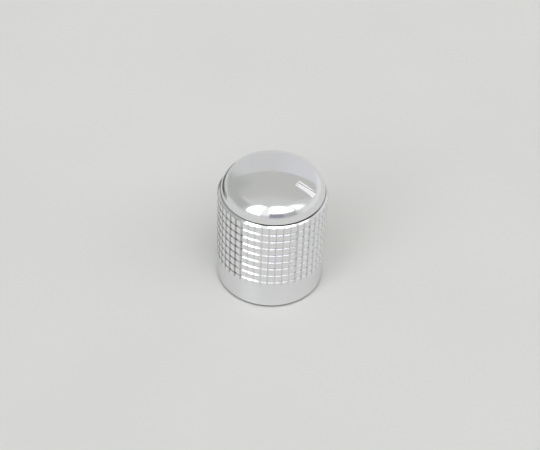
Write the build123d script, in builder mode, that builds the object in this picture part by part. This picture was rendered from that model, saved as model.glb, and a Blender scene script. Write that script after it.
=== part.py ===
from build123d import *
from math import asin, degrees, radians, sqrt, tan
import os

# A control knob turned from one aluminium bar, for a plain round potentiometer shaft.
# From the bottom up it has a plain skirt, a cross-knurled grip and a low dome with a milled pointer slot.
# The knob stands on its rim: the origin is the middle of the rim, +Z is the shaft axis, +X the pointer.
# All sizes are in millimetres and all angles in degrees.

# Grip: rows of square pads between turned V rings and V grooves cut along the axis
grip_diameter = 16.0
grip_length = 11.1
flute_count = 48
ring_pitch = 1.32
end_land = 0.7
groove_depth = 0.22
groove_angle = 90.0

# Skirt and rim
skirt_step = 0.25
skirt_height = 4.5
rim_chamfer = 0.3

# Ledge and dome
ledge_width = 0.45
ledge_rise = 0.45
dome_height = 3.55
shoulder_radius = 2.6

# Pointer slot
pointer_width = 1.2
pointer_start = 3.8
pointer_depth = 0.5
pointer_fall = 12.5

# Shaft bore and nut relief in the underside
shaft_diameter = 6.0
shaft_clearance = 0.05
bore_depth = 13.0
bore_chamfer = 0.2
drill_point_angle = 118.0
relief_diameter = 11.0
relief_depth = 0.8

# Set screw, a cup-point M3 with a hexagon socket
screw_diameter = 3.0
screw_height = 2.6
thread_clearance = 0.05
tip_gap = 0.2
screw_recess = 0.5
screw_end_chamfer = 0.3
cup_rim_radius = 0.85
cup_radius = 0.65
cup_angle = 118.0
socket_flats = 1.5
socket_depth = 1.6

# How far a cutter reaches past the metal that it cuts
overrun = 0.5

# Radii and heights that follow from the sizes above
grip_radius = grip_diameter / 2
skirt_radius = grip_radius - skirt_step
dome_radius = grip_radius - ledge_width
bore_radius = shaft_diameter / 2 + shaft_clearance
relief_radius = relief_diameter / 2
screw_radius = screw_diameter / 2
screw_hole_radius = screw_radius + thread_clearance

grip_foot = skirt_height - skirt_step
grip_top = skirt_height + grip_length
dome_base = grip_top + ledge_rise
knob_height = dome_base + dome_height

# The crown is the arc that meets the shoulder arc smoothly and is level at the axis
shoulder_centre = dome_radius - shoulder_radius
crown_rise = dome_height**2 - shoulder_radius**2 + shoulder_centre**2
crown_radius = crown_rise / (2 * (dome_height - shoulder_radius))
shoulder_sweep = 90 - degrees(asin(shoulder_centre / (crown_radius - shoulder_radius)))

# The grip's outline, as heights and the distances of its flats from the axis
flute_pitch = 360 / flute_count
groove_flank = groove_depth * tan(radians(groove_angle / 2))
ring_count = 1 + int((grip_length - 2 * end_land) / ring_pitch)
grip_outline = [(grip_foot, grip_radius)]
for ring in range(ring_count):
    ring_height = skirt_height + end_land + ring * ring_pitch
    grip_outline += [
        (ring_height - groove_flank, grip_radius),
        (ring_height, grip_radius - groove_depth),
        (ring_height + groove_flank, grip_radius),
    ]
grip_outline.append((dome_base, grip_radius))
ledge_fall = overrun * ledge_rise / ledge_width

drill_point = bore_radius / tan(radians(drill_point_angle / 2))
cup_depth = cup_radius / tan(radians(cup_angle / 2))
screw_tip = bore_radius + tip_gap
screw_end = skirt_radius - screw_recess


def crown_height(distance):
    """Height of the crown's surface at a distance from the axis."""
    return knob_height - crown_radius + sqrt(crown_radius**2 - distance**2)


# The knob body, one solid
with BuildPart() as knob_body:
    # The grip with its V rings, one flat for each column of pads
    for height, radius in grip_outline:
        with BuildSketch(Plane.XY.offset(height)):
            RegularPolygon(radius, flute_count, major_radius=False, rotation=flute_pitch / 2)
    loft(ruled=True)

    # The V grooves along the axis, at the corners between the flats
    with BuildSketch(Plane.XY.offset(grip_foot)):
        with PolarLocations(grip_radius, flute_count, start_angle=flute_pitch / 2):
            Polygon(
                (-groove_depth, 0),
                (groove_depth, -2 * groove_flank),
                (groove_depth, 2 * groove_flank),
                align=None,
            )
    extrude(amount=dome_base - grip_foot, mode=Mode.SUBTRACT)

    # The turned ends of the grip, a chamfer above the skirt and a sloping ledge below the dome
    with BuildSketch(Plane.XZ):
        with BuildLine():
            Polyline(
                (skirt_radius, grip_foot),
                (grip_radius + overrun, grip_foot),
                (grip_radius + overrun, skirt_height + overrun),
                close=True,
            )
        make_face()
        with BuildLine():
            Polyline(
                (dome_radius, dome_base),
                (grip_radius + overrun, dome_base),
                (grip_radius + overrun, grip_top - ledge_fall),
                close=True,
            )
        make_face()
    revolve(axis=Axis.Z, mode=Mode.SUBTRACT)

    # The turned rest of the outside: the skirt, and the dome on a core that fills the grip
    with BuildSketch(Plane.XZ):
        with BuildLine():
            skirt = Polyline(
                (0, knob_height),
                (0, 0),
                (skirt_radius - rim_chamfer, 0),
                (skirt_radius, rim_chamfer),
                (skirt_radius, grip_foot),
                (dome_radius, grip_foot),
                (dome_radius, dome_base),
            )
            shoulder = CenterArc(
                (shoulder_centre, dome_base), shoulder_radius, 0, shoulder_sweep
            )
            TangentArc(shoulder @ 1, skirt @ 0, tangent=shoulder % 1)
        make_face()
    revolve(axis=Axis.Z)

    # The pointer slot, whose floor falls outwards and runs out on the shoulder
    slot_floor = crown_height(pointer_start) - pointer_depth
    slot_run = grip_radius - pointer_start
    with BuildSketch(Plane.XZ):
        with BuildLine():
            Polyline(
                (pointer_start, slot_floor),
                (pointer_start, knob_height),
                (grip_radius, knob_height),
                (grip_radius, slot_floor - slot_run * tan(radians(pointer_fall))),
                close=True,
            )
        make_face()
    extrude(amount=pointer_width / 2, both=True, mode=Mode.SUBTRACT)

    # The shaft bore with its drill point, its mouth and the relief round it
    with BuildSketch(Plane.XZ):
        with BuildLine():
            Polyline(
                (0, bore_depth + drill_point),
                (bore_radius, bore_depth),
                (bore_radius, relief_depth + bore_chamfer),
                (bore_radius + bore_chamfer, relief_depth),
                (relief_radius, relief_depth),
                (relief_radius, 0),
                (0, 0),
                close=True,
            )
        make_face()
    revolve(axis=Axis.Z, mode=Mode.SUBTRACT)

    # The tapped hole for the set screw, from the bore out through the skirt, opposite the pointer
    with BuildSketch(Plane(origin=(0, 0, screw_height), z_dir=(-1, 0, 0))):
        Circle(screw_hole_radius)
    extrude(amount=skirt_radius + overrun, mode=Mode.SUBTRACT)

# The set screw, with its cup point towards the shaft
with BuildPart() as set_screw:
    with BuildSketch(Plane(origin=(0, 0, screw_height), x_dir=(-1, 0, 0), z_dir=(0, 1, 0))):
        with BuildLine():
            Polyline(
                (screw_tip + cup_depth, 0),
                (screw_tip, cup_radius),
                (screw_tip, cup_rim_radius),
                (screw_tip + screw_radius - cup_rim_radius, screw_radius),
                (screw_end - screw_end_chamfer, screw_radius),
                (screw_end, screw_radius - screw_end_chamfer),
                (screw_end, 0),
                close=True,
            )
        make_face()
    revolve(axis=Axis(origin=(0, 0, screw_height), direction=(-1, 0, 0)))

    # The hexagon socket in its outer end
    with BuildSketch(Plane(origin=(-screw_end, 0, screw_height), z_dir=(1, 0, 0))):
        RegularPolygon(socket_flats / 2, 6, major_radius=False)
    extrude(amount=socket_depth, mode=Mode.SUBTRACT)

knob_body.part.label = "knob_body"
set_screw.part.label = "set_screw"

os.makedirs("parts", exist_ok=True)
export_step(knob_body.part, "parts/knob_body.step")
export_step(set_screw.part, "parts/set_screw.step")

print("height", round(knob_height, 3), "crown radius", round(crown_radius, 3))
print("rings", ring_count, "screw length", round(screw_end - screw_tip, 3))
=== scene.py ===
import bmesh
import bpy
from math import asin, ceil, cos, floor, hypot, pi, radians, sin, sqrt, tan
from mathutils import Matrix, Vector


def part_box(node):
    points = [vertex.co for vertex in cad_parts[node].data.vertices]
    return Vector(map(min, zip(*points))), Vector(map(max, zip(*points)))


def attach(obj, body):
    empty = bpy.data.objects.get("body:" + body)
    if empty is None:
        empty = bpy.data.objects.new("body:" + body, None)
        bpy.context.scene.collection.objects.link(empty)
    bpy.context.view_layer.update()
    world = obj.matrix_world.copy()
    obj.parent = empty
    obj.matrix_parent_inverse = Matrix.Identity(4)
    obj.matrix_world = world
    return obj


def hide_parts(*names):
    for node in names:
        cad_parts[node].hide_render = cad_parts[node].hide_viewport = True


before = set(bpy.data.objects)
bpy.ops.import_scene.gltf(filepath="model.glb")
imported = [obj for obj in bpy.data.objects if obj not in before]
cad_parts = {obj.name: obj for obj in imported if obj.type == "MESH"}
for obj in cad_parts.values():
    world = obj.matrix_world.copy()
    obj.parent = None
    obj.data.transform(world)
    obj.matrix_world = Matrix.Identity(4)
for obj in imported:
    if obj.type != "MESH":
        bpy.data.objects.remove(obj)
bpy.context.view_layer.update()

# The knob body. One piece of aluminium turned from bar: a low polished dome, a cross-knurled grip and a
# plain skirt, bored from below for a 6 mm shaft. It is clear anodised, and it stands on its rim.
mm = 0.001
body_low, body_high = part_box("knob_body")
grip_radius = body_high.x
knob_height = body_high.z

skirt_radius = grip_radius - 0.25 * mm
skirt_height = 4.5 * mm
grip_length = 11.1 * mm
ledge_width = 0.45 * mm
ledge_rise = 0.45 * mm
shoulder_radius = 2.6 * mm
rim_radius = 0.3 * mm
edge_break = 0.05 * mm
foot_groove = 0.16 * mm

flutes = 48
first_ring = 0.7 * mm
ring_pitch = 1.32 * mm
rings = 8
ring_depth = 0.22 * mm
flute_depth = 0.13 * mm
groove_root = 0.04 * mm
pad_edge = 0.09 * mm

bore_radius = 3.05 * mm
bore_depth = 13.0 * mm
bore_chamfer = 0.2 * mm
drill_angle = radians(118)
drill_point = bore_radius / tan(drill_angle / 2)
relief_radius = 5.5 * mm
relief_depth = 0.8 * mm

grip_top = skirt_height + grip_length
dome_base = grip_top + ledge_rise
dome_radius = grip_radius - ledge_width
dome_height = knob_height - dome_base
shoulder_centre = dome_radius - shoulder_radius
crown_rise = dome_height**2 - shoulder_radius**2 + shoulder_centre**2
crown_radius = crown_rise / (2 * (dome_height - shoulder_radius))
crown_sweep = asin(shoulder_centre / (crown_radius - shoulder_radius))


def arc(centre, radius, start, stop, steps):
    """Points (distance from the axis, height) on an arc, its angles measured from straight up."""
    turns = [start + (stop - start) * step / steps for step in range(steps + 1)]
    return [(centre[0] + radius * sin(turn), centre[1] + radius * cos(turn)) for turn in turns]


def half_groove(depth):
    """Half a right-angled knurling groove, as distances from its middle and depths, out to the pad's flat."""
    radius = pad_edge / tan(pi / 8)
    turns = [pi / 4 * step / 3 for step in (3, 2, 1, 0)]
    edge = [(depth + pad_edge - radius * sin(turn), radius * (1 - cos(turn))) for turn in turns]
    return [(0, depth - groove_root / 2), (groove_root, depth - groove_root)] + edge


def body_profile():
    """The turned outline, from the top of the dome down the outside and up into the bore."""
    flank = half_groove(ring_depth)
    outline = arc((0, knob_height - crown_radius), crown_radius, 0, crown_sweep, 16)
    outline += arc((shoulder_centre, dome_base), shoulder_radius, crown_sweep, pi / 2, 14)[1:]
    # The fine groove turned at the dome's foot
    outline += [
        (dome_radius - 0.3 * foot_groove, dome_base - 1.6 * foot_groove),
        (dome_radius + 0.4 * foot_groove, dome_base - 1.6 * foot_groove),
        (dome_radius + 0.8 * foot_groove, dome_base - 0.8 * foot_groove),
    ]
    # The ledge and the chamfer at the grip's foot lie at 45 degrees, as the grooves' flanks do
    outline += [(grip_radius - depth, grip_top + min(ring_depth - away, depth)) for away, depth in flank]
    for ring in reversed(range(rings)):
        height = skirt_height + first_ring + ring * ring_pitch
        outline += [(grip_radius - depth, height + away) for away, depth in reversed(flank)]
        outline += [(grip_radius - depth, height - away) for away, depth in flank[1:]]
    for away, depth in reversed(flank):
        outline.append((grip_radius - depth, skirt_height - min(ring_depth - away, depth)))
    chamfer_foot = skirt_height - grip_radius + skirt_radius
    outline += [
        (skirt_radius + 0.3 * edge_break, chamfer_foot + 0.3 * edge_break),
        (skirt_radius, chamfer_foot - 0.3 * edge_break),
    ]
    outline += arc((skirt_radius - rim_radius, rim_radius), rim_radius, pi / 2, pi, 6)
    outline += [
        (relief_radius + edge_break, 0),
        (relief_radius, edge_break),
        (relief_radius, relief_depth - edge_break),
        (relief_radius - edge_break, relief_depth),
        (bore_radius + bore_chamfer, relief_depth),
        (bore_radius, relief_depth + bore_chamfer),
        (bore_radius, bore_depth - edge_break),
        (bore_radius - edge_break, bore_depth + edge_break * 0.6),
        (0, bore_depth + drill_point),
    ]
    return outline


def flute_columns():
    """One flute with half a pad on each side, as angles from its middle and the metal's radius there."""
    half_pitch = pi / flutes
    side = [(away / grip_radius, grip_radius - depth) for away, depth in half_groove(flute_depth)]
    side.append((half_pitch, grip_radius))
    return [(-angle, radius) for angle, radius in reversed(side[1:])] + side


def body_slice():
    """The slice of the body that holds one flute: the turned outline, cut back to the flute."""
    outline = body_profile()
    columns = flute_columns()
    middle = pi / flutes
    points = []
    for angle, metal in columns:
        for distance, height in outline:
            radius = min(distance, metal)
            turn = middle + angle
            points.append((radius * cos(turn), radius * sin(turn), height))
    rows = len(outline)
    faces = []
    for column in range(len(columns) - 1):
        for row in range(rows - 1):
            corner = column * rows + row
            faces.append((corner, corner + 1, corner + rows + 1, corner + rows))
    mesh = bpy.data.meshes.new("body_slice")
    mesh.from_pydata(points, [], faces)
    return mesh


def add(tree, kind, inputs=(), **settings):
    """Adds a node with its settings, and links or sets the inputs that are named or numbered."""
    made = tree.nodes.new(kind)
    for name, value in settings.items():
        setattr(made, name, value)
    for key, value in dict(inputs).items():
        if isinstance(value, bpy.types.NodeSocket):
            tree.links.new(value, made.inputs[key])
        else:
            made.inputs[key].default_value = value
    return made


def maths(tree, operation, first, second=0.0, third=0.0):
    """The result of a Math node on sockets or numbers."""
    made = add(tree, "ShaderNodeMath", {0: first, 1: second, 2: third}, operation=operation)
    return made.outputs[0]


def blend(tree, factor, first, second):
    """Mixes two numbers by a factor from 0 to 1."""
    made = add(tree, "ShaderNodeMix", {"Factor": factor, "A": first, "B": second}, data_type="FLOAT")
    return made.outputs[0]


def between(tree, value, start, stop, low=0.0, high=1.0, smooth=True):
    """Maps a value from start..stop to low..high, and holds it at the ends."""
    inputs = {"Value": value, "From Min": start, "From Max": stop, "To Min": low, "To Max": high}
    kind = "SMOOTHSTEP" if smooth else "LINEAR"
    return add(tree, "ShaderNodeMapRange", inputs, interpolation_type=kind).outputs[0]


def every(tree, mask, *others):
    """A mask that is 1 only where all of several masks are."""
    for other in others:
        mask = maths(tree, "MULTIPLY", mask, other)
    return mask


def paint(tree, under, over, mask):
    """Lays a colour over another where the mask is 1."""
    coats = [coat if isinstance(coat, bpy.types.NodeSocket) else (*coat, 1) for coat in (under, over)]
    made = add(tree, "ShaderNodeMix", {0: mask, 6: coats[0], 7: coats[1]}, data_type="RGBA")
    return made.outputs[2]


def noise(tree, vector, size, detail=2.0, roughness=0.5):
    """Noise from 0 to 1 whose features are about the given size."""
    inputs = {"Vector": vector, "Scale": 1 / size, "Detail": detail, "Roughness": roughness}
    return add(tree, "ShaderNodeTexNoise", inputs).outputs[0]


def new_material(name):
    """An empty node material with its tree, output and object coordinates."""
    material = bpy.data.materials.new(name)
    material.use_nodes = True
    tree = material.node_tree
    tree.nodes.clear()
    output = add(tree, "ShaderNodeOutputMaterial")
    place = add(tree, "ShaderNodeTexCoord").outputs["Object"]
    return material, tree, output, place


def turned_aluminium():
    """Bright turned aluminium: polished on the dome, fine tool marks elsewhere, grime with painted shade in
    the knurl's grooves, wear with a painted highlight on its pads, painted shade in the dome's foot groove
    and a painted contact shadow on the lower edge.
    """
    material, tree, output, place = new_material("turned_aluminium_finish")
    flat = add(tree, "ShaderNodeVectorMath", {0: place, 1: (1, 1, 0)}, operation="MULTIPLY").outputs[0]
    reach = add(tree, "ShaderNodeVectorMath", {0: flat}, operation="LENGTH").outputs["Value"]
    spread = add(tree, "ShaderNodeSeparateXYZ", {0: place})
    height = spread.outputs["Z"]
    lathe = add(tree, "ShaderNodeCombineXYZ", {"X": reach, "Z": height}).outputs[0]

    # Where the dome with its ledge, the grip, and the bore with its relief are
    on_dome = between(tree, height, grip_top - 0.02 * mm, grip_top + 0.02 * mm)
    outside = between(tree, reach, relief_radius, relief_radius + 0.2 * mm)
    indoors = every(tree, maths(tree, "SUBTRACT", 1.0, outside), maths(tree, "SUBTRACT", 1.0, on_dome))
    above_foot = between(tree, height, skirt_height - 0.2 * mm, skirt_height)
    above_grip = between(tree, height, grip_top, grip_top + 0.1 * mm)
    below_ledge = between(tree, height, grip_top, grip_top + 0.1 * mm, 1.0, 0.0)
    on_grip = every(tree, above_foot, below_ledge, outside)

    # The grooves of the knurl, the crossings where the painted shade and grime are darkest, and the flats
    # between them
    groove_floor = 0.1 * mm
    groove_mouth = 0.24 * mm
    ring_height = maths(tree, "SUBTRACT", height, skirt_height + first_ring)
    from_ring = maths(tree, "PINGPONG", ring_height, ring_pitch / 2)
    turn = maths(tree, "ADD", maths(tree, "ARCTAN2", spread.outputs["Y"], spread.outputs["X"]), pi / flutes)
    from_flute = maths(tree, "MULTIPLY", maths(tree, "PINGPONG", turn, pi / flutes), grip_radius)
    in_ring = between(tree, from_ring, groove_floor, groove_mouth, 1.0, 0.0)
    in_flute = between(tree, from_flute, groove_floor, groove_mouth, 1.0, 0.0)
    fainter_ring = maths(tree, "MULTIPLY", in_ring, 0.5)
    in_groove = every(tree, maths(tree, "MAXIMUM", fainter_ring, in_flute), on_grip)
    in_crossing = every(tree, in_ring, in_flute, on_grip)
    on_pad = maths(tree, "SUBTRACT", on_grip, in_groove)

    # How rough the metal is: polished on the dome, left from the drill in the bore
    tool_bands = noise(tree, lathe, 0.6 * mm, 2.0)
    turned = blend(tree, on_dome, 0.25, 0.10)
    turned = blend(tree, on_grip, turned, 0.19)
    turned = blend(tree, indoors, turned, 0.36)
    varied = maths(tree, "MULTIPLY_ADD", tool_bands, 0.2, 0.9)
    rough = maths(tree, "MULTIPLY", turned, varied)

    # Where the knurl has grime with painted shade in its grooves and wear with a painted highlight on its
    # pads: heavy on one side away from the pointer, and lighter on the pointer's side
    haze = noise(tree, place, 3.0 * mm, 2.0)
    darker_side = add(tree, "ShaderNodeVectorMath", {0: flat, 1: (-0.58, -0.81, 0)}, operation="DOT_PRODUCT")
    ragged = maths(tree, "MULTIPLY_ADD", haze, 1.2 * mm, darker_side.outputs["Value"])
    heavy = between(tree, ragged, 6.7 * mm, 7.7 * mm, 0.08, 0.85)
    ragged = maths(tree, "MULTIPLY_ADD", haze, 1.2 * mm, spread.outputs["X"])
    lighter = between(tree, ragged, 6.4 * mm, 7.8 * mm, 0.0, 0.36)
    grime_and_shade = maths(tree, "MAXIMUM", heavy, lighter)

    # Painted shade in the fine groove at the dome's foot, strongest on one side, and a painted contact shadow
    # on the lower edge
    shade_bed = dome_base - 0.9 * foot_groove
    shade_top = dome_base - 0.2 * foot_groove
    below_dome = between(tree, height, shade_bed, shade_top, 1.0, 0.0)
    shade_wall = dome_radius + 0.4 * foot_groove
    shade_lip = dome_radius + 1.1 * foot_groove
    beside_dome = between(tree, reach, shade_wall, shade_lip, 1.0, 0.0)
    foot_shade_side = add(tree, "ShaderNodeVectorMath", {0: flat, 1: (0.68, -0.73, 0)}, operation="DOT_PRODUCT")
    foot_shade_spread = between(tree, foot_shade_side.outputs["Value"], 4.6 * mm, 7.0 * mm, 0.15, 1.0)
    foot_groove_shade = every(tree, below_dome, beside_dome, above_grip, outside, foot_shade_spread)
    # Painted contact shadow: black on the outer rounding of the lower edge, fading out by 0.4 mm above the
    # floor
    off_bottom = between(tree, reach, skirt_radius - rim_radius, skirt_radius - 0.12 * mm)
    rim_contact_shadow = every(tree, between(tree, height, 0.2 * mm, 0.4 * mm, 0.95, 0.0), off_bottom)

    bright = (0.87, 0.875, 0.885)
    worn_and_highlit = (0.94, 0.945, 0.95)
    grime_and_groove_shade = (0.40, 0.405, 0.41)
    black = (0.10, 0.10, 0.11)
    # Wear with a painted highlight: the pads lightened where the knurl is grimy
    colour = paint(tree, bright, worn_and_highlit, every(tree, on_pad, grime_and_shade))
    # Painted shade with grime: the knurl's grooves darkened and their crossings blackened
    colour = paint(tree, colour, grime_and_groove_shade, every(tree, in_groove, grime_and_shade))
    colour = paint(tree, colour, black, every(tree, in_crossing, grime_and_shade))
    # Painted shade: the fine groove at the dome's foot blackened
    colour = paint(tree, colour, black, foot_groove_shade)
    # Painted contact shadow along the lower edge
    colour = paint(tree, colour, black, rim_contact_shadow)

    # The fine rings that the tool leaves, fainter on the polished dome
    tool_marks = noise(tree, lathe, 0.09 * mm, 2.0)
    mark_depth = blend(tree, on_dome, 1.0, 0.15)
    relief = maths(tree, "MULTIPLY", tool_marks, mark_depth)
    bump = add(tree, "ShaderNodeBump", {"Strength": 1.0, "Distance": 0.0008 * mm, "Height": relief})
    tangent = add(tree, "ShaderNodeTangent", direction_type="RADIAL", axis="Z")
    shader = add(
        tree,
        "ShaderNodeBsdfPrincipled",
        {
            "Base Color": colour,
            "Metallic": 1.0,
            "Roughness": rough,
            "Anisotropic": 1.0,
            "Anisotropic Rotation": 0.25,
            "Normal": bump.outputs[0],
            "Tangent": tangent.outputs[0],
        },
    )
    tree.links.new(shader.outputs[0], output.inputs["Surface"])
    return material


def slices_round(count, material):
    """The node tree that repeats a slice round the shaft's axis and joins the copies."""
    tree = bpy.data.node_groups.new("slices_round", "GeometryNodeTree")
    sockets = tree.interface
    sockets.new_socket("Slice", in_out="INPUT", socket_type="NodeSocketGeometry")
    count_socket = sockets.new_socket("Flutes", in_out="INPUT", socket_type="NodeSocketInt")
    merge_socket = sockets.new_socket("Merge distance", in_out="INPUT", socket_type="NodeSocketFloat")
    finish_socket = sockets.new_socket("Finish", in_out="INPUT", socket_type="NodeSocketMaterial")
    sockets.new_socket("Body", in_out="OUTPUT", socket_type="NodeSocketGeometry")
    start = add(tree, "NodeGroupInput")
    index = add(tree, "GeometryNodeInputIndex")
    points = add(tree, "GeometryNodePoints", {"Count": start.outputs["Flutes"]})
    step = maths(tree, "DIVIDE", 2 * pi, start.outputs["Flutes"])
    turn = maths(tree, "MULTIPLY", index.outputs[0], step)
    about = add(tree, "ShaderNodeCombineXYZ", {"Z": turn})
    spin = add(tree, "FunctionNodeEulerToRotation", {0: about.outputs[0]})
    placed = {"Points": points.outputs[0], "Instance": start.outputs["Slice"], "Rotation": spin.outputs[0]}
    copies = add(tree, "GeometryNodeInstanceOnPoints", placed)
    plain = add(tree, "GeometryNodeRealizeInstances", {0: copies.outputs[0]})
    touching = {"Geometry": plain.outputs[0], "Distance": start.outputs["Merge distance"]}
    joined = add(tree, "GeometryNodeMergeByDistance", touching)
    mitred = add(tree, "GeometryNodeTriangulate", {"Mesh": joined.outputs[0]}, quad_method="LONGEST_DIAGONAL")
    smooth = add(tree, "GeometryNodeSetShadeSmooth", {"Geometry": mitred.outputs[0]})
    finished = {"Geometry": smooth.outputs[0], "Material": start.outputs["Finish"]}
    finish = add(tree, "GeometryNodeSetMaterial", finished)
    end = add(tree, "NodeGroupOutput")
    tree.links.new(finish.outputs[0], end.inputs["Body"])
    values = {
        count_socket.identifier: count,
        merge_socket.identifier: 0.0005 * mm,
        finish_socket.identifier: material,
    }
    return tree, values


def link(mesh, name):
    """An object at the origin that shows a mesh."""
    made = bpy.data.objects.new(name, mesh)
    bpy.context.scene.collection.objects.link(made)
    return made


def settle(piece):
    """Turns a piece with its modifiers into a plain mesh."""
    bpy.context.view_layer.update()
    shown = piece.evaluated_get(bpy.context.evaluated_depsgraph_get())
    mesh = bpy.data.meshes.new_from_object(shown)
    piece.modifiers.clear()
    piece.data = mesh
    return mesh


def cut(piece, cutter):
    """Cuts a cutter out of a piece, whose new faces take the cutter's material, and removes it."""
    modifier = piece.modifiers.new("cut", "BOOLEAN")
    modifier.object = cutter
    modifier.operation = "DIFFERENCE"
    modifier.solver = "EXACT"
    modifier.material_mode = "TRANSFER"
    settle(piece)
    bpy.data.objects.remove(cutter)


body_finish = turned_aluminium()
knob_body = link(body_slice(), "turned_knob_body")
knob_body.data.materials.append(body_finish)
round_tree, round_values = slices_round(flutes, body_finish)
modifier = knob_body.modifiers.new("slices_round", "NODES")
modifier.node_group = round_tree
for identifier, value in round_values.items():
    modifier[identifier] = value
settle(knob_body)

# The pointer. A slot milled into the dome's edge, whose floor falls outwards and runs out on the
# shoulder. White enamel coats its floor and its walls.
pointer_width = 1.2 * mm
pointer_start = 3.8 * mm
pointer_depth = 0.5 * mm
pointer_fall = radians(12.5)


def enamel():
    """White enamel, slightly glossy, with a thin grey line of painted shade and dirt in the slot's corners.
    """
    material, tree, output, place = new_material("pointer_enamel")
    spread = add(tree, "ShaderNodeSeparateXYZ", {0: place})
    sideways = maths(tree, "ABSOLUTE", spread.outputs["Y"])
    fall = maths(tree, "SUBTRACT", spread.outputs["X"], pointer_start)
    floor_height = maths(tree, "MULTIPLY_ADD", fall, -tan(pointer_fall), slot_floor)
    above_floor = maths(tree, "SUBTRACT", spread.outputs["Z"], floor_height)
    off_wall = maths(tree, "SUBTRACT", pointer_width / 2, sideways)
    off_corner = maths(tree, "MAXIMUM", above_floor, off_wall)
    # Painted shade and dirt: a thin grey line where the slot's floor meets its walls
    corner = between(tree, off_corner, 0.03 * mm, 0.09 * mm, 1.0, 0.0)
    flow = noise(tree, place, 0.25 * mm, 3.0)
    shade = between(tree, flow, 0.2, 0.8, 0.87, 0.93, False)
    shade = blend(tree, corner, shade, 0.3)
    colour = add(tree, "ShaderNodeCombineColor", {0: shade, 1: shade, 2: shade}).outputs[0]
    bump = add(tree, "ShaderNodeBump", {"Strength": 0.5, "Distance": 0.01 * mm, "Height": flow})
    inputs = {"Base Color": colour, "Roughness": 0.35, "Normal": bump.outputs[0]}
    shader = add(tree, "ShaderNodeBsdfPrincipled", inputs)
    tree.links.new(shader.outputs[0], output.inputs["Surface"])
    return material


def prism(outline, half_width, name):
    """A closed solid: an outline of (x, z) points, as wide on both sides of the middle plane."""
    made = bmesh.new()
    near = [made.verts.new((x, -half_width, z)) for x, z in outline]
    far = [made.verts.new((x, half_width, z)) for x, z in outline]
    made.faces.new(near)
    made.faces.new(reversed(far))
    for first in range(len(outline)):
        second = (first + 1) % len(outline)
        made.faces.new((near[second], near[first], far[first], far[second]))
    bmesh.ops.recalc_face_normals(made, faces=made.faces)
    mesh = bpy.data.meshes.new(name)
    made.to_mesh(mesh)
    made.free()
    return mesh


crown_there = knob_height - crown_radius + sqrt(crown_radius**2 - pointer_start**2)
slot_floor = crown_there - pointer_depth
slot_run = grip_radius - pointer_start
slot_outline = [
    (pointer_start, slot_floor),
    (grip_radius, slot_floor - slot_run * tan(pointer_fall)),
    (grip_radius, knob_height + mm),
    (pointer_start, knob_height + mm),
]
slot_cutter = link(prism(slot_outline, pointer_width / 2, "slot_cutter"), "slot_cutter")
slot_cutter.data.materials.append(enamel())
cut(knob_body, slot_cutter)

# The tapped hole. An M3 thread cut through the skirt opposite the pointer, from the outside into the
# bore, with a light countersink at its mouth.
screw_height = 2.6 * mm
thread_radius = 1.5 * mm
thread_pitch = 0.5 * mm
thread_depth = 0.6134 * thread_pitch
thread_gap = 0.02 * mm
countersink = 0.12 * mm
overrun = 0.5 * mm


def threaded_rod(start, stop, radius, shape):
    """A rod threaded from start to stop, measured from the shaft's axis; shape(s, r) turns its radius.

    At its ends the thread is at its full depth all round, so that each end closes on one circle.
    """
    around = 48
    crest_share, root_share = 1 / 16, 3 / 8
    shares = (0, crest_share, root_share, 0.5, 1 - root_share, 1 - crest_share)
    made = bmesh.new()
    loops = []
    for turn in range(floor(start / thread_pitch) - 2, ceil(stop / thread_pitch) + 3):
        for share in shares:
            from_crest = min(share, 1 - share)
            fall = min(max((from_crest - crest_share) / (root_share - crest_share), 0), 1)
            loop = []
            for step in range(around):
                angle = 2 * pi * step / around
                climb = (turn + share + step / around) * thread_pitch
                along = min(max(climb, start), stop)
                cut_depth = thread_depth * fall if along == climb else thread_depth
                reach = shape(along, radius - cut_depth)
                spot = (-along, reach * cos(angle), screw_height - reach * sin(angle))
                loop.append(made.verts.new(spot))
            loops.append(loop)
    for row in range(len(loops) - len(shares) - 1):
        lower = loops[row] + [loops[row + len(shares)][0]]
        upper = loops[row + 1] + [loops[row + 1 + len(shares)][0]]
        for step in range(around):
            made.faces.new((lower[step], lower[step + 1], upper[step + 1], upper[step]))
    bmesh.ops.remove_doubles(made, verts=made.verts, dist=0.00005 * mm)
    bmesh.ops.dissolve_degenerate(made, edges=made.edges, dist=0.00005 * mm)
    return made


def close_ends(made, name):
    """Caps a rod's open ends and makes it a mesh with its faces outwards."""
    bmesh.ops.holes_fill(made, edges=[edge for edge in made.edges if edge.is_boundary])
    bmesh.ops.recalc_face_normals(made, faces=made.faces)
    for face in made.faces:
        face.smooth = len(face.verts) < 5
    mesh = bpy.data.meshes.new(name)
    made.to_mesh(mesh)
    made.free()
    return mesh


def countersunk(along, radius):
    """The hole's radius, opened out at its mouth."""
    return max(radius, thread_radius + along - skirt_radius + countersink)


hole_start = bore_radius - overrun
hole_stop = skirt_radius + overrun
tap = threaded_rod(hole_start, hole_stop, thread_radius + thread_gap, countersunk)
hole_cutter = link(close_ends(tap, "hole_cutter"), "hole_cutter")
hole_cutter.data.materials.append(body_finish)
cut(knob_body, hole_cutter)


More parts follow.
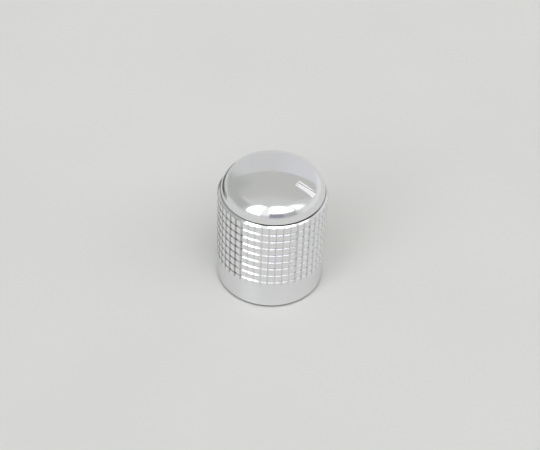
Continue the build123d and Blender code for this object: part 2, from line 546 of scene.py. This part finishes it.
def true_normals(mesh):
    """Gives the turned faces the normals of the round surfaces that their facets stand for."""
    crown_edge = crown_radius * sin(crown_sweep)
    hole_reach = thread_radius + countersink
    # A turned face leans round the axis by less than this, and a sloping one lies between upright and level
    most_lean = 0.06
    upright = 0.02
    level = 0.999
    normals = [corner.vector.copy() for corner in mesh.corner_normals]
    for polygon in mesh.polygons:
        centre = polygon.center
        around = Vector((-centre.y, centre.x, 0)).normalized()
        in_hole = centre.x < 0 and hypot(centre.y, centre.z - screw_height) < hole_reach
        if polygon.material_index or in_hole or abs(polygon.normal.dot(around)) > most_lean:
            continue
        for loop in polygon.loop_indices:
            spot = mesh.vertices[mesh.loops[loop].vertex_index].co
            out = Vector((spot.x, spot.y, 0))
            if out.length < 0.01 * mm:
                continue
            reach = out.length
            out.normalize()
            if centre.z > dome_base and reach < crown_edge:
                normals[loop] = out * reach + Vector((0, 0, spot.z - knob_height + crown_radius))
            elif centre.z > dome_base:
                normals[loop] = out * (reach - shoulder_centre) + Vector((0, 0, spot.z - dome_base))
            elif reach < skirt_radius - rim_radius or not upright < abs(polygon.normal.z) < level:
                normals[loop] = out * polygon.normal.dot(out) + Vector((0, 0, polygon.normal.z))
            else:
                across = Vector((-out.y, out.x, 0))
                normals[loop] -= across * normals[loop].dot(across)
            normals[loop].normalize()
    mesh.normals_split_custom_set(normals)


for polygon in knob_body.data.polygons:
    polygon.use_smooth = True
weighting = knob_body.modifiers.new("weighting", "WEIGHTED_NORMAL")
weighting.keep_sharp = True
weighting.weight = 50
knob_body.data.set_sharp_from_angle(angle=radians(50))
settle(knob_body)
true_normals(knob_body.data)
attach(knob_body, "root")
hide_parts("knob_body")

# The set screw. An M3 x 4 grub screw of alloy steel, blackened, with a cup point that bites on the shaft
# and a 1.5 mm hexagon socket, screwed in below the skirt's surface.
screw_tip = bore_radius + 0.2 * mm
screw_end = skirt_radius - 0.5 * mm
point_radius = 0.85 * mm
cup_radius = 0.65 * mm
cup_angle = radians(118)
cup_depth = cup_radius / tan(cup_angle / 2)
end_chamfer = 0.3 * mm
socket_flats = 1.5 * mm
socket_depth = 1.6 * mm


def blackened_steel():
    """Black oxide on steel, a little rubbed on its crests and round the socket."""
    material, tree, output, place = new_material("blackened_steel_finish")
    grain = noise(tree, place, 0.12 * mm, 3.0)
    patches = noise(tree, place, 0.8 * mm, 3.0)
    spread = add(tree, "ShaderNodeSeparateXYZ", {0: place})
    lift = maths(tree, "SUBTRACT", spread.outputs["Z"], screw_height)
    from_axis = add(tree, "ShaderNodeCombineXYZ", {"X": spread.outputs["Y"], "Y": lift}).outputs[0]
    reach = add(tree, "ShaderNodeVectorMath", {0: from_axis}, operation="LENGTH").outputs["Value"]
    crest = between(tree, reach, thread_radius - 0.08 * mm, thread_radius)
    rubbed = maths(tree, "MULTIPLY", crest, between(tree, patches, 0.35, 0.7, 0.1, 0.9, False))
    shade = blend(tree, rubbed, between(tree, grain, 0.2, 0.8, 0.07, 0.11, False), 0.33)
    blue = maths(tree, "MULTIPLY", shade, 1.08)
    colour = add(tree, "ShaderNodeCombineColor", {0: shade, 1: shade, 2: blue})
    rough = between(tree, patches, 0.25, 0.75, 0.32, 0.5, False)
    bump = add(tree, "ShaderNodeBump", {"Strength": 1.0, "Distance": 0.004 * mm, "Height": grain})
    inputs = {
        "Base Color": colour.outputs[0],
        "Metallic": 1.0,
        "Roughness": rough,
        "Normal": bump.outputs[0],
    }
    shader = add(tree, "ShaderNodeBsdfPrincipled", inputs)
    tree.links.new(shader.outputs[0], output.inputs["Surface"])
    return material


def screw_shape(along, radius):
    """The screw's radius, brought in to its point at the tip and by a chamfer at the outer end."""
    return min(radius, point_radius + along - screw_tip, thread_radius - end_chamfer + screw_end - along)


def spindle(outline, sides, name):
    """A closed solid about the screw's axis, from points (distance from the shaft's axis, radius)."""
    made = bmesh.new()
    loops = []
    for along, radius in outline:
        spots = [0] if radius == 0 else range(sides)
        angles = [2 * pi * (side + 0.5) / sides for side in spots]
        heights = [(-along, radius * cos(angle), screw_height + radius * sin(angle)) for angle in angles]
        loops.append([made.verts.new(spot) for spot in heights] * (sides if radius == 0 else 1))
    for lower, upper in zip(loops, loops[1:]):
        for side in range(sides):
            after = (side + 1) % sides
            corners = (lower[side], lower[after], upper[after], upper[side])
            made.faces.new(list(dict.fromkeys(corners)))
    return close_ends(made, name)


steel = blackened_steel()
rod = threaded_rod(screw_tip, screw_end, thread_radius, screw_shape)
set_screw = link(close_ends(rod, "threaded_set_screw"), "threaded_set_screw")
set_screw.data.materials.append(steel)

cup_outline = [(screw_tip + cup_depth, 0), (screw_tip, cup_radius), (screw_tip - mm, cup_radius)]
cup_cutter = link(spindle(cup_outline, 48, "cup_cutter"), "cup_cutter")
cup_cutter.data.materials.append(steel)
cut(set_screw, cup_cutter)

corner_radius = socket_flats / 2 / cos(pi / 6)
socket_foot = screw_end - socket_depth
socket_outline = [
    (socket_foot - 0.5 * corner_radius, 0),
    (socket_foot, corner_radius),
    (screw_end + mm, corner_radius),
]
socket_cutter = link(spindle(socket_outline, 6, "socket_cutter"), "socket_cutter")
socket_cutter.data.materials.append(steel)
cut(set_screw, socket_cutter)

set_screw.data.set_sharp_from_angle(angle=radians(35))
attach(set_screw, "root")
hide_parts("set_screw")

# The floor. A plain pale board that the knob stands on, matt and a little warm. It is wide enough to
# fill every view.
floor_reach = 6.0


def pale_board():
    """A matt pale grey that shows about as it is written."""
    material, tree, output, place = new_material("pale_board")
    mottle = noise(tree, place, 30 * mm, 2.0)
    shade = between(tree, mottle, 0.3, 0.7, 0.705, 0.725, False)
    warm = maths(tree, "MULTIPLY", shade, 0.975)
    colour = add(tree, "ShaderNodeCombineColor", {0: shade, 1: shade, 2: warm}).outputs[0]
    shader = add(tree, "ShaderNodeBsdfDiffuse", {"Color": colour})
    tree.links.new(shader.outputs[0], output.inputs["Surface"])
    return material


board = bpy.data.meshes.new("floor")
corners = [(-floor_reach, -floor_reach), (floor_reach, -floor_reach), (floor_reach, floor_reach)]
corners.append((-floor_reach, floor_reach))
board.from_pydata([(x, y, body_low.z) for x, y in corners], [], [(0, 1, 2, 3)])
ground = link(board, "floor")
board.materials.append(pale_board())

# The flag. A low dark card that stands beside the knob at the left, out of the camera's sight, and gives
# the dome its dark edge there.
camera_azimuth = radians(28.17)
camera_elevation = radians(43.81)


def towards(azimuth, elevation):
    """The direction at an azimuth from the camera's, positive to the right, and an elevation."""
    turn = camera_azimuth + azimuth
    level = cos(elevation)
    return Vector((sin(turn) * level, -cos(turn) * level, sin(elevation)))


flag_azimuth = radians(-128)
flag_distance = 42 * mm
flag_width = 44 * mm
flag_height = 14.5 * mm
along = towards(flag_azimuth + pi / 2, 0) * flag_width / 2


def dark_card():
    """Matt card, black in the middle and fading to pale grey at its ends and its top."""
    material, tree, output, place = new_material("dark_card")
    fibres = between(tree, noise(tree, place, mm, 2.0), 0.3, 0.7, 0.09, 0.12, False)
    aside = add(tree, "ShaderNodeVectorMath", {0: place, 1: along.normalized()}, operation="DOT_PRODUCT")
    off_middle = maths(tree, "ABSOLUTE", aside.outputs["Value"])
    end_fade = between(tree, off_middle, 0.1 * flag_width, 0.5 * flag_width)
    height = add(tree, "ShaderNodeSeparateXYZ", {0: place}).outputs["Z"]
    top_fade = between(tree, height, 0.5 * flag_height, flag_height)
    fade = maths(tree, "MAXIMUM", end_fade, top_fade)
    shade = blend(tree, fade, fibres, 0.5)
    colour = add(tree, "ShaderNodeCombineColor", {0: shade, 1: shade, 2: shade}).outputs[0]
    shader = add(tree, "ShaderNodeBsdfDiffuse", {"Color": colour})
    tree.links.new(shader.outputs[0], output.inputs["Surface"])
    return material


card = bpy.data.meshes.new("flag")
foot = towards(flag_azimuth, 0) * flag_distance
lift = Vector((0, 0, flag_height))
card.from_pydata([foot - along, foot + along, foot + along + lift, foot - along + lift], [], [(0, 1, 2, 3)])
flag = link(card, "flag")
card.materials.append(dark_card())
flag.visible_camera = False
flag.visible_diffuse = False
flag.visible_shadow = False

# The light. A pale room with two tall windows in front of the knob and a fainter one on the right. It is
# darker at the left, above the backdrop and in front below the windows. Angles are in degrees, round from
# the camera, positive to the right, and up from the floor.
world = bpy.data.worlds.new("studio")
world.use_nodes = True
bpy.context.scene.world = world
room = world.node_tree
room.nodes.clear()
look = add(room, "ShaderNodeTexCoord").outputs["Generated"]


def facing(direction):
    """How much the look goes in a direction, from -1 to 1."""
    inputs = {0: look, 1: direction}
    return add(room, "ShaderNodeVectorMath", inputs, operation="DOT_PRODUCT").outputs["Value"]


rise = facing((0, 0, 1))
behind = facing(towards(pi, 0))
round_from_camera = maths(room, "ARCTAN2", facing(towards(pi / 2, 0)), facing(towards(0, 0)))
up_from_floor = maths(room, "ARCSINE", rise)


def stretch(left, right, low, high, soft=2, soft_top=None):
    """A mask over a stretch of the room, whose edges are as soft as given."""
    edge = radians(soft)
    top_edge = radians(soft_top or soft)
    limits = [
        between(room, round_from_camera, radians(left) - edge, radians(left) + edge),
        between(room, round_from_camera, radians(right) - edge, radians(right) + edge, 1.0, 0.0),
        between(room, up_from_floor, radians(low) - edge, radians(low) + edge),
        between(room, up_from_floor, radians(high) - top_edge, radians(high) + top_edge, 1.0, 0.0),
    ]
    return every(room, *limits)


ceiling = between(room, behind, 0.12, 0.34)
sloping = maths(room, "MULTIPLY_ADD", behind, -1.3, rise)
backdrop = every(room, ceiling, between(room, sloping, -0.36, -0.34, 1.0, 0.0))
walls = paint(room, (0.64, 0.64, 0.64), (0.55, 0.55, 0.525), ceiling)
walls = paint(room, walls, (0.64, 0.64, 0.64), backdrop)
lilac_corner = every(room, backdrop, stretch(125, 172, -30, 60, 8))
walls = paint(room, walls, (0.68, 0.68, 0.71), lilac_corner)

# The wall on the right, the darker wall on the left, the pale strip between the windows, the low wall in
# front with its darkest part, the left window, the right window and the faint one beside it
coats = [
    ((0.78, 0.78, 0.78), stretch(62, 150, -10, 24, 9)),
    ((0.46, 0.475, 0.455), stretch(-150, -62, 10, 52, 8)),
    ((1.0, 1.0, 1.0), stretch(-30, 10, 20, 74, 4)),
    ((0.42, 0.43, 0.42), stretch(-5, 52, 7, 36, 3)),
    ((0.28, 0.285, 0.34), stretch(-5, 24, 9, 34, 3)),
    ((2.7, 2.8, 2.83), stretch(-55, -25, 15, 72)),
    ((2.4, 2.34, 2.37), stretch(-8, 52, 36, 78, 2, 7)),
    ((1.4, 1.4, 1.4), stretch(57, 80, 30, 66, 8)),
]
for colour, place in coats:
    walls = paint(room, walls, colour, place)
back = add(room, "ShaderNodeBackground", {"Color": walls, "Strength": 1.0})
sky = add(room, "ShaderNodeOutputWorld")
room.links.new(back.outputs[0], sky.inputs["Surface"])

# The camera. It stands at the photograph's viewing angle with a long lens, about a quarter of a metre
# away, and is rolled a little, as the photograph is.
camera_distance = 240.1 * mm
camera_roll = radians(2.525)
aim_height = 9.22 * mm
aim_aside = -0.23 * mm

lens = bpy.data.cameras.new("camera")
lens.sensor_width = 36
lens.lens = 106.34
lens.clip_start = 0.01
lens.clip_end = 20
camera = bpy.data.objects.new("camera", lens)
bpy.context.scene.collection.objects.link(camera)
eye = towards(0, camera_elevation) * camera_distance
sideways = Vector((cos(camera_azimuth), sin(camera_azimuth), 0))
aim = Vector((0, 0, aim_height)) + sideways * aim_aside
straight = (aim - eye).to_track_quat("-Z", "Y").to_matrix().to_4x4()
camera.matrix_world = Matrix.Translation(eye) @ straight @ Matrix.Rotation(camera_roll, 4, "Z")
bpy.context.scene.camera = camera

# The colours show as they are written
bpy.context.scene.view_settings.view_transform = "Standard"
